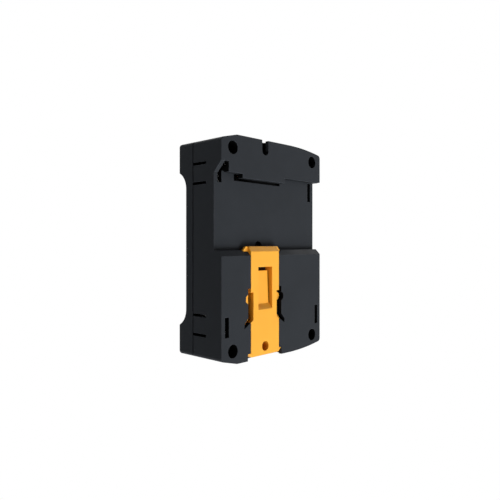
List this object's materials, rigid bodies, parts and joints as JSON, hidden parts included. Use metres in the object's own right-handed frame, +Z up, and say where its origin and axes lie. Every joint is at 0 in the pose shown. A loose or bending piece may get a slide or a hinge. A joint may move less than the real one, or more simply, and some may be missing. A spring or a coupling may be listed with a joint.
{
  "type": "DIN rail contactor",
  "caption": "Flat modular contactor for a 35 mm rail, dark two-part casing with raised ends and an orange sliding rail latch.",
  "frame": {"origin": "middle of the rail seat: on the face that lies against the rail, on the rail's centre line, halfway across the width", "axes": "+X across the width towards the side with the stepped lip end, +Y out of the back towards the wall, +Z up"},
  "size_m": [0.072, 0.0284, 0.1023],
  "materials": {
    "housing_plastic": "fine matt grain",
    "latch_plastic": "satin",
    "label_plastic": "matt",
    "clear_plastic": "clear",
    "zinc_steel": "zinc plated",
    "black_steel": "black oxide",
    "base_plastic": "glass-filled nylon",
    "carrier_plastic": "phenolic",
    "flag_red": "matt",
    "control_grey": "satin",
    "magnet_steel": "ground",
    "copper": "bare copper",
    "tinned_copper": "tin plated",
    "silver": "silver alloy",
    "spring_steel": "drawn wire",
    "bobbin_plastic": "glass-filled nylon",
    "coil_wire": "enamelled copper",
    "tape": "polyester tape",
    "rubber": "matt",
    "board": "solder mask",
    "varistor_blue": "epoxy",
    "capacitor_yellow": "box capacitor",
    "chip_black": "epoxy",
    "led_lens": "diffuse"
  },
  "bodies": {
    "casing": {"rear_housing": "housing_plastic", "front_cover": "housing_plastic", "housing_screws": "black_steel", "contact_base": "base_plastic", "base_screws": "zinc_steel", "contact_cover": "carrier_plastic", "magnet_yoke": "magnet_steel", "yoke_top_plate": "magnet_steel", "fixed_core": "magnet_steel", "shading_ring": "copper", "coil_bobbin": "bobbin_plastic", "coil_winding": "coil_wire", "coil_tape": "tape", "buffer_pad": "rubber", "return_spring": "spring_steel", "coil_strap_a1": "tinned_copper", "coil_strap_a2": "tinned_copper", "line_contact_tips": "silver", "load_contact_tips": "silver", "terminal_cages_top": "zinc_steel", "terminal_cages_bottom": "zinc_steel", "terminal_screws_top": "zinc_steel", "terminal_screws_bottom": "zinc_steel", "control_board": "board", "varistor": "varistor_blue", "suppressor_capacitor": "capacitor_yellow", "bridge_rectifier": "chip_black", "status_led": "led_lens", "light_pipe": "clear_plastic", "selector_switch": "chip_black", "tact_switch": "chip_black", "label_plate": "label_plastic", "flag_window": "clear_plastic", "line_bar_1": "copper", "line_bar_2": "copper", "line_bar_3": "copper", "load_bar_1": "copper", "load_bar_2": "copper", "load_bar_3": "copper"},
    "latch": {"din_latch": "latch_plastic"},
    "carrier": {"contact_carrier": "carrier_plastic", "position_flag": "flag_red", "manual_actuator": "control_grey", "armature_plunger": "magnet_steel", "armature_clip": "spring_steel", "contact_spring_1": "spring_steel", "contact_spring_2": "spring_steel", "contact_spring_3": "spring_steel"},
    "bridge_1": {"contact_bridge_1": "copper", "bridge_tips_1": "silver"},
    "bridge_2": {"contact_bridge_2": "copper", "bridge_tips_2": "silver"},
    "bridge_3": {"contact_bridge_3": "copper", "bridge_tips_3": "silver"},
    "selector": {"selector_knob": "control_grey", "selector_shoe": "control_grey"},
    "button": {"test_button": "control_grey"}
  },
  "joints": [
    {"name": "latch_slide", "type": "slide", "parent": "casing", "child": "latch", "axis": [0, 0, -1], "range_m": [0, 0.0087], "stiffness_N_per_m": 800, "springref_m": -0.0005},
    {"name": "carrier_slide", "type": "slide", "parent": "casing", "child": "carrier", "axis": [0, 0, -1], "range_m": [0, 0.003], "stiffness_N_per_m": 700, "springref_m": -0.002, "deforming": ["return_spring"]},
    {"name": "bridge_wipe_1", "type": "slide", "parent": "carrier", "child": "bridge_1", "axis": [0, 0, 1], "range_m": [0, 0.0006], "deforming": ["contact_spring_1"]},
    {"name": "bridge_wipe_2", "type": "slide", "parent": "carrier", "child": "bridge_2", "axis": [0, 0, 1], "range_m": [0, 0.0006], "deforming": ["contact_spring_2"]},
    {"name": "bridge_wipe_3", "type": "slide", "parent": "carrier", "child": "bridge_3", "axis": [0, 0, 1], "range_m": [0, 0.0006], "deforming": ["contact_spring_3"]},
    {"name": "selector_slide", "type": "slide", "parent": "casing", "child": "selector", "axis": [1, 0, 0], "range_m": [-0.003, 0.003]},
    {"name": "button_press", "type": "slide", "parent": "casing", "child": "button", "axis": [0, 1, 0], "range_m": [0, 0.0006], "stiffness_N_per_m": 300, "springref_m": -0.0005}
  ],
  "couplings": [
    {"joint": "bridge_wipe_1", "follows": "carrier_slide", "ratio": 0.2},
    {"joint": "bridge_wipe_2", "follows": "carrier_slide", "ratio": 0.2},
    {"joint": "bridge_wipe_3", "follows": "carrier_slide", "ratio": 0.2}
  ]
}
